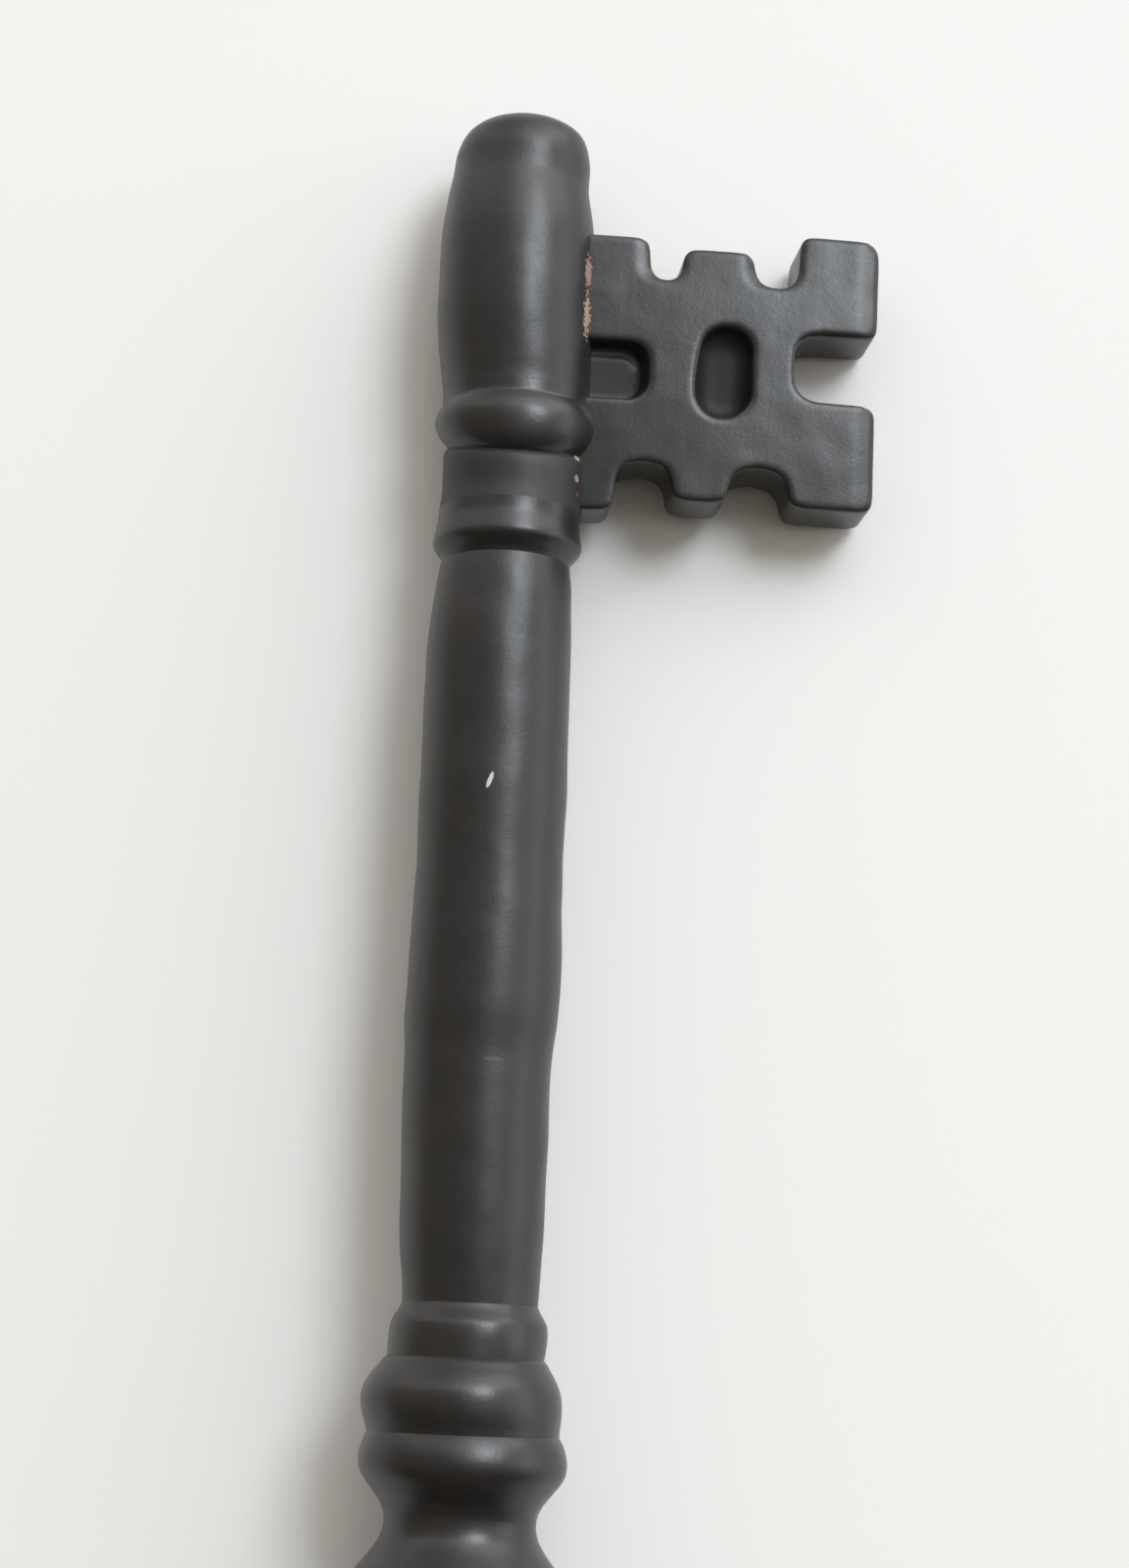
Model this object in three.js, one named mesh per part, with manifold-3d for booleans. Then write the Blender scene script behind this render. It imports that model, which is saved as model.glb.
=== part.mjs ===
import * as THREE from "three";
import { mergeVertices } from "three/addons/utils/BufferGeometryUtils.js";
import Module from "manifold-3d";

// Large decorative skeleton key of blackened iron, in millimetres.
// The stem runs along Y with its tip at +Y, the bit reaches out along +X, and +Z is the front.
// A station is a distance down the stem's axis, measured from the tip.

const wasm = await Module();
wasm.setup();

// Fits
const boreGap = 0.15;
const seatGap = 0.3;
const cutOverrun = 2;

// Lengths of the pieces along the stem, from the tip to the bow
const barrelLength = 44;
const upperCollarLength = 8;
const neckLength = 9.5;
const lowerCollarLength = 8;
const shankLength = 106.8;
const firstBeadLength = 7.4;
const secondBeadLength = 10.4;
const thirdBeadLength = 10.5;
const bossLength = 21;

// Tip barrel
const domeLength = 7;
const domeRadius = 10.1;
const barrelRadius = 11.6;
const barrelFootRadius = 10.9;
const barrelSwellShares = [0.3, 0.62];
const barrelWaistShare = 0.74;
const barrelBoreDepth = 24;

// Stem collars and the neck between them
const upperCollarRadius = 11.9;
const upperCollarCrestShare = 0.5;
const upperCollarSeatRadius = 10.8;
const neckRadius = 9.6;
const neckWaistShare = 0.56;
const lowerCollarRadius = 11;
const lowerCollarCrestShare = 0.5;
const lowerCollarSeatRadius = 9.9;

// Shank
const shankShoulderRadius = 9.6;
const shankUpperRadius = 10.5;
const shankRadius = 11;
const shankFootRadius = 9.5;
const shankUpperShare = 0.12;
const shankSwellShare = 0.54;
const tipSpigotRadius = 5.5;
const footSpigotRadius = 7;
const footSpigotEngagement = 7;

// Beads at the bow end
const firstBeadRadius = 11.2;
const firstBeadCrestShare = 0.5;
const firstBeadFootRadius = 11;
const secondBeadRadius = 14.1;
const secondBeadCrestShare = 0.54;
const secondBeadFootRadius = 13.4;
const thirdBeadRadius = 14.5;
const thirdBeadCrestShare = 0.38;
const thirdBeadFootRadius = 11.2;

// Bow boss
const bossNeckRadius = 10.8;
const bossNeckShare = 0.06;
const bossRadius = 16;
const bossCrestShare = 0.52;
const bossEndRadius = 9.6;

// Bit
const bitReach = 54;
const bitThickness = 11;
const bitRootRadius = 7.3;
const bitAboveCollar = 27.4;
const bitHeight = 42.2;
const innerTeethDrop = 2.3;
const topNotchDepth = 8.5;
const bottomNotchDepth = 6;
const topEdgeShares = [0.168, 0.327, 0.55, 0.733];
const bottomEdgeShares = [0.108, 0.305, 0.493, 0.712];
const bottomToothShares = [1.012, 0.98, 0.998];
const sideNotchDepth = 12.2;
const sideNotchHeight = 10.2;
const sideNotchShare = 0.359;
const toothRound = 2;
const topNotchRound = 2.8;
const bottomNotchRound = 2.2;
const sideNotchRound = 2.6;
const bitEdgeRound = 1.2;

// Blind recesses in the front of the bit
const recessDepth = 5;
const ovalHalfWidth = 4.5;
const ovalHalfHeight = 7.7;
const ovalPlaceShares = [0.467, 0.532];
const ovalFloorShare = 0.8;
const halfRoundReach = 9;
const halfRoundHeight = 9.4;
const halfRoundTopShare = 0.419;
const halfRoundCorner = 3.6;

// Bow
const bowHalfWidth = 38;
const bowHalfLength = 30;
const bowSectionHalfWidth = 6.5;
const bowSectionHalfHeight = 6;
const bowShoulderLength = 3;
const bowTenonRadius = 5;
const bowTenonLength = 10;

// Dowels of the bit, and the pins of the boss
const dowelRadius = 1.75;
const dowelReach = 17;
const upperDowelShare = 0.305;
const lowerDowelShare = 0.75;
const pinRadius = 2;
const pinTopHeight = 3;
const pinSunk = 0.4;

// Steps of the faceted surfaces
const turnSteps = 36;
const curveSteps = 4;
const pinSteps = 16;
const ringSteps = 44;
const ringSides = 12;

// Stations where the pieces of the stem meet
const upperCollarStation = barrelLength;
const bitTopStation = barrelLength - bitAboveCollar;
const neckStation = upperCollarStation + upperCollarLength;
const lowerCollarStation = neckStation + neckLength;
const shankStation = lowerCollarStation + lowerCollarLength;
const firstBeadStation = shankStation + shankLength;
const secondBeadStation = firstBeadStation + firstBeadLength;
const thirdBeadStation = secondBeadStation + secondBeadLength;
const bossStation = thirdBeadStation + thirdBeadLength;
const bowStation = bossStation + bossLength;
const bowCentreStation = bowStation + bowShoulderLength + bowHalfLength;
const overallLength = bowCentreStation + bowHalfLength;
const barrelBoreStation = barrelLength - barrelBoreDepth;
const footSpigotStation = bossStation + footSpigotEngagement;

function metal(colour, roughness) {
  return new THREE.MeshStandardMaterial({ color: colour, roughness, metalness: 0.6 });
}

const blackened = () => metal(0x35332f, 0.45);
const pinSteel = () => metal(0x77736c, 0.4);

// Booleans: a geometry as a solid, and a solid as a geometry

function solidOf(geometry) {
  const bare = geometry.clone();
  bare.deleteAttribute("normal");
  bare.deleteAttribute("uv");
  const merged = mergeVertices(bare);
  const corners = merged.index.array;
  const triangles = [];
  for (let i = 0; i < corners.length; i += 3) {
    const [a, b, c] = [corners[i], corners[i + 1], corners[i + 2]];
    if (a !== b && b !== c && c !== a) triangles.push(a, b, c);
  }
  const mesh = new wasm.Mesh({
    numProp: 3,
    vertProperties: new Float32Array(merged.attributes.position.array),
    triVerts: new Uint32Array(triangles),
  });
  return new wasm.Manifold(mesh);
}

function geometryOf(solid) {
  const mesh = solid.getMesh();
  const geometry = new THREE.BufferGeometry();
  geometry.setAttribute("position", new THREE.BufferAttribute(new Float32Array(mesh.vertProperties), 3));
  geometry.setIndex(new THREE.BufferAttribute(new Uint32Array(mesh.triVerts), 1));
  geometry.computeVertexNormals();
  return geometry;
}

function cutFrom(geometry, ...cutters) {
  let solid = solidOf(geometry);
  for (const cutter of cutters) solid = solid.subtract(solidOf(cutter));
  return geometryOf(solid);
}

// Turned pieces: an outline of radius and station goes down the stem, and is spun round its axis

function outlineFrom(radius, station) {
  const outline = new THREE.Path();
  outline.moveTo(radius, -station);
  return outline;
}

function turned(outline) {
  return new THREE.LatheGeometry(outline.getPoints(curveSteps).reverse(), turnSteps);
}

function lineTo(outline, radius, station) {
  outline.lineTo(radius, -station);
}

// A quarter round that rises from the axis to the full width of a dome
function domeTo(outline, radius, station) {
  outline.absellipse(0, -station, radius, station, Math.PI / 2, 0, true);
}

// A smooth swell or waist between two stations, along the axis at both ends
function sweepTo(outline, fromRadius, fromStation, toRadius, toStation) {
  const middle = (fromStation + toStation) / 2;
  outline.bezierCurveTo(fromRadius, -middle, toRadius, -middle, toRadius, -toStation);
}

// A ring with one round bead and a bore for the spigot that carries it
function beadRing(station, length, seatRadius, crestRadius, footRadius, crestShare, spigotRadius) {
  const bore = spigotRadius + boreGap;
  const crest = station + length * crestShare;
  const end = station + length;
  const outline = outlineFrom(bore, station);
  lineTo(outline, seatRadius, station);
  sweepTo(outline, seatRadius, station, crestRadius, crest);
  sweepTo(outline, crestRadius, crest, footRadius, end);
  lineTo(outline, bore, end);
  lineTo(outline, bore, station);
  return turned(outline);
}

// Round pins and the holes drilled for them

function rodAlongX(radius, fromX, toX, station) {
  const rod = new THREE.CylinderGeometry(radius, radius, toX - fromX, pinSteps);
  rod.rotateZ(Math.PI / 2);
  rod.translate((fromX + toX) / 2, -station, 0);
  return rod;
}

function rodAlongZ(radius, fromZ, toZ, station) {
  const rod = new THREE.CylinderGeometry(radius, radius, toZ - fromZ, pinSteps);
  rod.rotateX(Math.PI / 2);
  rod.translate(0, -station, (fromZ + toZ) / 2);
  return rod;
}

// The places of the pins
const upperDowelStation = bitTopStation + bitHeight * upperDowelShare;
const lowerDowelStation = bitTopStation + bitHeight * lowerDowelShare;
const shankPinStation = bossStation + footSpigotEngagement / 2;
const bowPinStation = bowStation - bowTenonLength / 2;
const dowelInnerEnd = -tipSpigotRadius + seatGap;
const dowelOuterEnd = dowelReach;

function dowelHole(station) {
  return rodAlongX(dowelRadius + boreGap, dowelInnerEnd - seatGap / 2, dowelOuterEnd + seatGap, station);
}

function pinHole(station) {
  return rodAlongZ(pinRadius + boreGap, -bossRadius - cutOverrun, pinTopHeight + seatGap, station);
}

// The slot in the stem that takes the root of the bit
function rootSlot() {
  const inner = bitRootRadius - seatGap;
  const outer = barrelRadius + upperCollarRadius;
  const top = bitTopStation + innerTeethDrop - seatGap;
  const bottom = bitTopStation + bitHeight * bottomToothShares[0] + seatGap;
  const slot = new THREE.BoxGeometry(outer - inner, bottom - top, bitThickness + 2 * boreGap);
  slot.translate((inner + outer) / 2, -(top + bottom) / 2, 0);
  return slot;
}

// A piece of the stem, slotted for the root of the bit and drilled for its dowels where they reach it
function slotted(geometry) {
  return cutFrom(geometry, rootSlot(), dowelHole(upperDowelStation), dowelHole(lowerDowelStation));
}

function tipBarrel() {
  const bore = tipSpigotRadius + boreGap;
  const waist = barrelLength * barrelWaistShare;
  const swellEnd = domeLength + (waist - domeLength) * barrelSwellShares[1];
  const swellStart = domeLength + (waist - domeLength) * barrelSwellShares[0];
  const outline = outlineFrom(0, 0);
  domeTo(outline, domeRadius, domeLength);
  outline.bezierCurveTo(domeRadius, -swellStart, barrelRadius, -swellStart, barrelRadius, -swellEnd);
  lineTo(outline, barrelRadius, waist);
  sweepTo(outline, barrelRadius, waist, barrelFootRadius, barrelLength);
  lineTo(outline, bore, barrelLength);
  lineTo(outline, bore, barrelBoreStation);
  lineTo(outline, 0, barrelBoreStation);
  return slotted(turned(outline));
}

function upperCollar() {
  return slotted(beadRing(
    upperCollarStation, upperCollarLength, barrelFootRadius, upperCollarRadius,
    upperCollarSeatRadius, upperCollarCrestShare, tipSpigotRadius,
  ));
}

function neckSleeve() {
  const bore = tipSpigotRadius + boreGap;
  const waist = neckStation + neckLength * neckWaistShare;
  const outline = outlineFrom(bore, neckStation);
  lineTo(outline, upperCollarSeatRadius, neckStation);
  sweepTo(outline, upperCollarSeatRadius, neckStation, neckRadius, waist);
  sweepTo(outline, neckRadius, waist, lowerCollarSeatRadius, lowerCollarStation);
  lineTo(outline, bore, lowerCollarStation);
  lineTo(outline, bore, neckStation);
  return slotted(turned(outline));
}

function lowerCollar() {
  return slotted(beadRing(
    lowerCollarStation, lowerCollarLength, lowerCollarSeatRadius, lowerCollarRadius,
    shankShoulderRadius, lowerCollarCrestShare, tipSpigotRadius,
  ));
}

function shank() {
  const tipEnd = barrelBoreStation + seatGap;
  const upper = shankStation + shankLength * shankUpperShare;
  const swell = shankStation + shankLength * shankSwellShare;
  const outline = outlineFrom(0, tipEnd);
  lineTo(outline, tipSpigotRadius, tipEnd);
  lineTo(outline, tipSpigotRadius, shankStation);
  lineTo(outline, shankShoulderRadius, shankStation);
  sweepTo(outline, shankShoulderRadius, shankStation, shankUpperRadius, upper);
  sweepTo(outline, shankUpperRadius, upper, shankRadius, swell);
  sweepTo(outline, shankRadius, swell, shankFootRadius, firstBeadStation);
  lineTo(outline, footSpigotRadius, firstBeadStation);
  lineTo(outline, footSpigotRadius, footSpigotStation);
  lineTo(outline, 0, footSpigotStation);
  const holes = [dowelHole(upperDowelStation), dowelHole(lowerDowelStation), pinHole(shankPinStation)];
  return cutFrom(turned(outline), ...holes);
}

function firstBead() {
  return beadRing(
    firstBeadStation, firstBeadLength, shankFootRadius, firstBeadRadius,
    firstBeadFootRadius, firstBeadCrestShare, footSpigotRadius,
  );
}

function secondBead() {
  return beadRing(
    secondBeadStation, secondBeadLength, firstBeadFootRadius, secondBeadRadius,
    secondBeadFootRadius, secondBeadCrestShare, footSpigotRadius,
  );
}

function thirdBead() {
  return beadRing(
    thirdBeadStation, thirdBeadLength, secondBeadFootRadius, thirdBeadRadius,
    thirdBeadFootRadius, thirdBeadCrestShare, footSpigotRadius,
  );
}

function bowBoss() {
  const spigotBore = footSpigotRadius + boreGap;
  const spigotFloor = footSpigotStation + seatGap;
  const tenonBore = bowTenonRadius + boreGap;
  const tenonFloor = bowStation - bowTenonLength - seatGap;
  const neck = bossStation + bossLength * bossNeckShare;
  const crest = bossStation + bossLength * bossCrestShare;
  const outline = outlineFrom(0, spigotFloor);
  lineTo(outline, spigotBore, spigotFloor);
  lineTo(outline, spigotBore, bossStation);
  lineTo(outline, thirdBeadFootRadius, bossStation);
  sweepTo(outline, thirdBeadFootRadius, bossStation, bossNeckRadius, neck);
  sweepTo(outline, bossNeckRadius, neck, bossRadius, crest);
  sweepTo(outline, bossRadius, crest, bossEndRadius, bowStation);
  lineTo(outline, tenonBore, bowStation);
  lineTo(outline, tenonBore, tenonFloor);
  lineTo(outline, 0, tenonFloor);
  return cutFrom(turned(outline), pinHole(shankPinStation), pinHole(bowPinStation));
}

// The bow is an oval ring of a rounded section, with a shoulder and a tenon that enter the boss

function ovalRing(halfWidth, halfLength, sectionHalfWidth, sectionHalfHeight) {
  const positions = [];
  const triangles = [];
  for (let i = 0; i < ringSteps; i += 1) {
    const along = (i / ringSteps) * 2 * Math.PI;
    const centre = new THREE.Vector2(
      (halfWidth - sectionHalfWidth) * Math.cos(along),
      (halfLength - sectionHalfWidth) * Math.sin(along),
    );
    const outward = new THREE.Vector2(
      (halfLength - sectionHalfWidth) * Math.cos(along),
      (halfWidth - sectionHalfWidth) * Math.sin(along),
    ).normalize();
    for (let j = 0; j < ringSides; j += 1) {
      const around = (j / ringSides) * 2 * Math.PI;
      const out = sectionHalfWidth * Math.cos(around);
      positions.push(centre.x + outward.x * out, centre.y + outward.y * out);
      positions.push(sectionHalfHeight * Math.sin(around));
      const [nextStep, nextSide] = [(i + 1) % ringSteps, (j + 1) % ringSides];
      const [a, b] = [i * ringSides + j, nextStep * ringSides + j];
      const [c, d] = [nextStep * ringSides + nextSide, i * ringSides + nextSide];
      triangles.push(a, b, c, a, c, d);
    }
  }
  const geometry = new THREE.BufferGeometry();
  geometry.setAttribute("position", new THREE.Float32BufferAttribute(positions, 3));
  geometry.setIndex(triangles);
  return geometry;
}

function bow() {
  const ring = ovalRing(bowHalfWidth, bowHalfLength, bowSectionHalfWidth, bowSectionHalfHeight);
  ring.translate(0, -bowCentreStation, 0);
  const tenonEnd = bowStation - bowTenonLength;
  const root = bowStation + bowShoulderLength + bowSectionHalfWidth;
  const outline = outlineFrom(0, tenonEnd);
  lineTo(outline, bowTenonRadius, tenonEnd);
  lineTo(outline, bowTenonRadius, bowStation);
  lineTo(outline, bossEndRadius, bowStation);
  sweepTo(outline, bossEndRadius, bowStation, bowTenonRadius, root);
  lineTo(outline, 0, root);
  const joined = solidOf(ring).add(solidOf(turned(outline)));
  return geometryOf(joined.subtract(solidOf(pinHole(bowPinStation))));
}

// The bit is a plate with three teeth above and below, and a notch in its outer end

function roundedOutline(corners) {
  const shape = new THREE.Shape();
  const count = corners.length;
  corners.forEach(([x, y, round], i) => {
    const corner = new THREE.Vector2(x, y);
    const before = new THREE.Vector2(...corners[(i + count - 1) % count]);
    const after = new THREE.Vector2(...corners[(i + 1) % count]);
    const entry = corner.clone().add(before.sub(corner).setLength(round));
    const exit = corner.clone().add(after.sub(corner).setLength(round));
    if (i === 0) shape.moveTo(entry.x, entry.y);
    else shape.lineTo(entry.x, entry.y);
    shape.quadraticCurveTo(corner.x, corner.y, exit.x, exit.y);
  });
  shape.closePath();
  return shape;
}

const across = (share) => barrelRadius + (bitReach - barrelRadius) * share;
const down = (share) => -(bitTopStation + bitHeight * share);

function bitOutline() {
  const top = down(0);
  const innerTop = top - innerTeethDrop;
  const topFloor = top - topNotchDepth;
  const bottomFloor = down(1) + bottomNotchDepth;
  const sideTop = down(sideNotchShare);
  const sideBottom = sideTop - sideNotchHeight;
  const sideEnd = bitReach - sideNotchDepth;
  const [t0, t1, t2, t3] = topEdgeShares.map(across);
  const [b0, b1, b2, b3] = bottomEdgeShares.map(across);
  const [inner, middle, outer] = bottomToothShares.map(down);
  return roundedOutline([
    [bitRootRadius, innerTop, toothRound],
    [t0, innerTop, toothRound],
    [t0, topFloor, topNotchRound],
    [t1, topFloor, topNotchRound],
    [t1, innerTop, toothRound],
    [t2, innerTop, toothRound],
    [t2, topFloor, topNotchRound],
    [t3, topFloor, topNotchRound],
    [t3, top, toothRound],
    [bitReach, top, toothRound],
    [bitReach, sideTop, toothRound],
    [sideEnd, sideTop, sideNotchRound],
    [sideEnd, sideBottom, sideNotchRound],
    [bitReach, sideBottom, toothRound],
    [bitReach, outer, toothRound],
    [b3, outer, toothRound],
    [b3, bottomFloor, bottomNotchRound],
    [b2, bottomFloor, bottomNotchRound],
    [b2, middle, toothRound],
    [b1, middle, toothRound],
    [b1, bottomFloor, bottomNotchRound],
    [b0, bottomFloor, bottomNotchRound],
    [b0, inner, toothRound],
    [bitRootRadius, inner, toothRound],
  ].reverse());
}

function ovalRecess() {
  const depth = recessDepth + cutOverrun;
  const flare = 1 + ((1 - ovalFloorShare) * cutOverrun) / recessDepth;
  const recess = new THREE.CylinderGeometry(flare, ovalFloorShare, depth, turnSteps / 2);
  recess.rotateX(Math.PI / 2);
  recess.scale(ovalHalfWidth, ovalHalfHeight, 1);
  recess.translate(across(ovalPlaceShares[0]), down(ovalPlaceShares[1]), bitThickness / 2 - recessDepth + depth / 2);
  return recess;
}

// It starts where the front of the plate meets the round of the barrel
function halfRoundRecess() {
  const root = Math.sqrt(barrelRadius ** 2 - (bitThickness / 2) ** 2);
  const top = down(halfRoundTopShare);
  const bottom = top - halfRoundHeight;
  const outer = barrelRadius + halfRoundReach;
  const shape = roundedOutline([
    [root, bottom, seatGap],
    [outer, bottom, halfRoundCorner],
    [outer, top, halfRoundCorner],
    [root, top, seatGap],
  ]);
  const recess = new THREE.ExtrudeGeometry(shape, {
    depth: recessDepth + cutOverrun, bevelEnabled: false, curveSegments: curveSteps,
  });
  recess.translate(0, 0, bitThickness / 2 - recessDepth);
  return recess;
}

function bit() {
  const plate = new THREE.ExtrudeGeometry(bitOutline(), {
    depth: bitThickness - 2 * bitEdgeRound,
    bevelThickness: bitEdgeRound,
    bevelSize: bitEdgeRound,
    bevelOffset: -bitEdgeRound,
    bevelSegments: 2,
    curveSegments: 4,
  });
  plate.translate(0, 0, bitEdgeRound - bitThickness / 2);
  const holes = [dowelHole(upperDowelStation), dowelHole(lowerDowelStation)];
  return cutFrom(plate, ovalRecess(), halfRoundRecess(), ...holes);
}

function bitDowel(station) {
  return rodAlongX(dowelRadius, dowelInnerEnd, dowelOuterEnd, station);
}

function backPin(station, surfaceRadius) {
  return rodAlongZ(pinRadius, pinSunk - surfaceRadius, pinTopHeight, station);
}

// Assembly: the key lies flat on its widest round, with the origin under the middle of its box

const key = new THREE.Group();
key.position.set((bowHalfWidth - bitReach) / 2, overallLength / 2, bossRadius);

function place(name, geometry, material) {
  const piece = new THREE.Mesh(geometry, material);
  piece.name = name;
  key.add(piece);
}

place("tip_barrel", tipBarrel(), blackened());
place("upper_collar", upperCollar(), blackened());
place("neck_sleeve", neckSleeve(), blackened());
place("lower_collar", lowerCollar(), blackened());
place("shank", shank(), blackened());
place("first_bead", firstBead(), blackened());
place("second_bead", secondBead(), blackened());
place("third_bead", thirdBead(), blackened());
place("bow_boss", bowBoss(), blackened());
place("bow", bow(), blackened());
place("bit", bit(), blackened());
place("bit_dowel_upper", bitDowel(upperDowelStation), pinSteel());
place("bit_dowel_lower", bitDowel(lowerDowelStation), pinSteel());
place("shank_pin", backPin(shankPinStation, bossNeckRadius), pinSteel());
place("bow_pin", backPin(bowPinStation, bossRadius - bossNeckRadius + bowTenonRadius), pinSteel());

export default key;
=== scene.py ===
import math

import bpy
from mathutils import Matrix, Vector


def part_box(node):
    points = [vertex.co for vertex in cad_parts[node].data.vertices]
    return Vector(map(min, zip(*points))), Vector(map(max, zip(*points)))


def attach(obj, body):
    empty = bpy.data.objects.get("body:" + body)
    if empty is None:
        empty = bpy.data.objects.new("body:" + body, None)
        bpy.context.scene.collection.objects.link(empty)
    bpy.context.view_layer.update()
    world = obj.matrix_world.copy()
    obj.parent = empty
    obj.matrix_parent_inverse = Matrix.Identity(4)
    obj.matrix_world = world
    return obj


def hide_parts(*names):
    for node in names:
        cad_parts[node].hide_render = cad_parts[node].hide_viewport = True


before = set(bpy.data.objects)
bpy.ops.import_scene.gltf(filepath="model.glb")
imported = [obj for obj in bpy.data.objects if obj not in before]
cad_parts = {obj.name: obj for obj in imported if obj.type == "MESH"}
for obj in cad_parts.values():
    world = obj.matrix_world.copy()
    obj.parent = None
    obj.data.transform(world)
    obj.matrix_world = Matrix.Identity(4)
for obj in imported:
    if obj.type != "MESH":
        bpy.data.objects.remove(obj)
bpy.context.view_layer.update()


# Shank
# The long bar of the stem, which swells gently towards its middle. It is turned iron, dressed by hand
# and blackened, with a spigot at each end that the other pieces of the stem slide onto.

MM = 0.001
TURN_COLUMNS = 96
LEAST_RADIUS = 0.02 * MM
# The gap that lets one piece slide onto another.
FIT = 0.15 * MM
BLACK_BROWN = (0.0110, 0.0100, 0.0092, 1)
BLACK_GREY = (0.0180, 0.0172, 0.0172, 1)
WORN_BROWN = (0.0230, 0.0180, 0.0160, 1)
FLECK_WHITE = (0.560, 0.540, 0.540, 1)
# Grey for a real scuff on the shank, and for a painted highlight on the bit.
SCUFF_AND_HIGHLIGHT_GREY = (0.075, 0.072, 0.072, 1)
RAW_PINK = (0.280, 0.175, 0.145, 1)
RAW_TAN = (0.340, 0.240, 0.160, 1)
RAW_RED = (0.085, 0.028, 0.026, 1)

# The patterns in the blackening: size and height in millimetres, and what they add to the roughness.
SATIN_ROUGHNESS = 0.23
BLOTCH_SIZE, BLOTCH_HEIGHT, BLOTCH_ROUGHNESS = 2.6, 0.035, 0.12
STROKE_SIZE, STROKE_HEIGHT, STROKE_ROUGHNESS = 1.1, 0.010, 0.05
PORE_SIZE, PORE_HEIGHT, PORE_ROUGHNESS = 0.45, 0.016, 0.05
WORN_SIZE, WORN_SHARE, WORN_EDGE = 9, 0.6, (0.42, 0.75)
# What a mark in the blackening has unless it says otherwise.
PLAIN_MARK = {"turned_by": 0.0, "ragged": 0.35, "grain": 0.8, "strength": 1.0, "dulls": 0.3, "depth": 0.08}
MARK_EDGE = (0.75, 1.15)
MARK_RAGGEDNESS = 4

# A turning line gives (down from the piece's top, radius) in millimetres.
SHANK_LINE = [
    (0.0, 9.45), (1.2, 9.62), (3.0, 9.85), (7.0, 10.20), (10.0, 10.40), (14.0, 10.50), (21.0, 10.58),
    (28.0, 10.60), (34.0, 10.70), (40.0, 10.62), (45.0, 10.55), (51.0, 10.68), (57.0, 10.86),
    (62.0, 10.95), (66.5, 10.90), (70.0, 10.60), (73.0, 10.44), (79.0, 10.38), (85.0, 10.34),
    (91.0, 10.24), (95.0, 10.18), (100.0, 9.92), (104.0, 9.66), (106.8, 9.50),
]
# The stem strays to the side a little, and its upper collar sags at the front. Both are given at places
# down from the tip, the first in millimetres and the second as a slope.
STEM_BEND = [
    (-5, 0.3), (2, 0.3), (7, 0.1), (12, -0.2), (30, 0.0), (48, 0.85), (57, 0.85), (65, 0.45), (71, 0.2),
    (80, -0.05), (98, 0.1), (130, 0.1), (143, -0.3), (163, 0.0), (179, 0.3), (189, -0.3), (196, 0.3),
    (209, 0.3), (225, 0.0), (400, 0.0),
]
COLLAR_SAG = [(-5, 0.0), (46, 0.0), (51.5, 0.26), (54, 0.25), (62, 0.0), (400, 0.0)]

shank_low, shank_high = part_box("shank")
stem_x = (shank_low.x + shank_high.x) / 2
stem_z = (shank_low.z + shank_high.z) / 2
tip_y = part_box("tip_barrel")[1].y


def half_width(node):
    """Half the height of a node, which is the radius of a turned piece."""
    low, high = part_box(node)
    return (high.z - low.z) / 2


def span(node):
    """The places on Y where a piece of the stem begins and ends, the tip's side first."""
    low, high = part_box(node)
    return high.y, low.y


def turning_line(top, points, steps=4):
    """A smooth line through the points that start at a place on Y, as (radius, y)."""
    knots = [Vector((radius * MM, top - down * MM)) for down, radius in points]
    knots = [2 * knots[0] - knots[1], *knots, 2 * knots[-1] - knots[-2]]
    line = []
    for i in range(1, len(knots) - 2):
        a, b, c, d = knots[i - 1:i + 3]
        for step in range(steps):
            t = step / steps
            line.append((2 * b + (c - a) * t + (2 * a - 5 * b + 4 * c - d) * t ** 2
                         + (3 * b - a - 3 * c + d) * t ** 3) / 2)
    line.append(knots[-2])
    return [(max(point.x, LEAST_RADIUS), point.y) for point in line]


def along_stem(table, y):
    """What a table says for a place on Y, smooth between its entries."""
    down = (tip_y - y) / MM
    for (start, first), (end, last) in zip(table, table[1:]):
        if start <= down <= end:
            t = (down - start) / (end - start)
            return first + (last - first) * t * t * (3 - 2 * t)


def axis_at(y):
    """The middle of the stem at a place on Y, with its slight bend."""
    return Vector((stem_x + along_stem(STEM_BEND, y) * MM, y, stem_z))


def turn(name, outline, bored=False):
    """A turned piece. A circle is drawn out along an outline of (radius, y) points, down the stem."""
    bpy.ops.object.select_all(action="DESELECT")
    radius, y = outline[0]
    bpy.ops.mesh.primitive_circle_add(
        vertices=TURN_COLUMNS, radius=radius, fill_type="NOTHING" if bored else "NGON",
        location=axis_at(y), rotation=(math.pi / 2, 0, 0),
    )
    piece = bpy.context.object
    piece.name = name
    bpy.ops.object.transform_apply(location=True, rotation=True, scale=True)
    bpy.ops.object.mode_set(mode="EDIT")
    bpy.ops.mesh.select_all(action="SELECT")
    for next_radius, next_y in outline[1:]:
        bpy.ops.mesh.extrude_region_move(TRANSFORM_OT_translate={"value": axis_at(next_y) - axis_at(y)})
        grow = next_radius / radius
        bpy.ops.transform.resize(value=(grow, 1, grow), center_override=axis_at(next_y))
        radius, y = next_radius, next_y
    if bored:
        bpy.ops.mesh.select_all(action="DESELECT")
        bpy.ops.mesh.select_mode(type="EDGE")
        bpy.ops.mesh.select_non_manifold(extend=False)
        bpy.ops.mesh.bridge_edge_loops()
    bpy.ops.mesh.select_all(action="SELECT")
    bpy.ops.mesh.remove_doubles(threshold=0.002 * MM)
    bpy.ops.mesh.normals_make_consistent(inside=False)
    bpy.ops.object.mode_set(mode="OBJECT")
    for corner in piece.data.vertices:
        corner.co.y -= along_stem(COLLAR_SAG, corner.co.y) * (corner.co.z - stem_z)
    return piece


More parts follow.
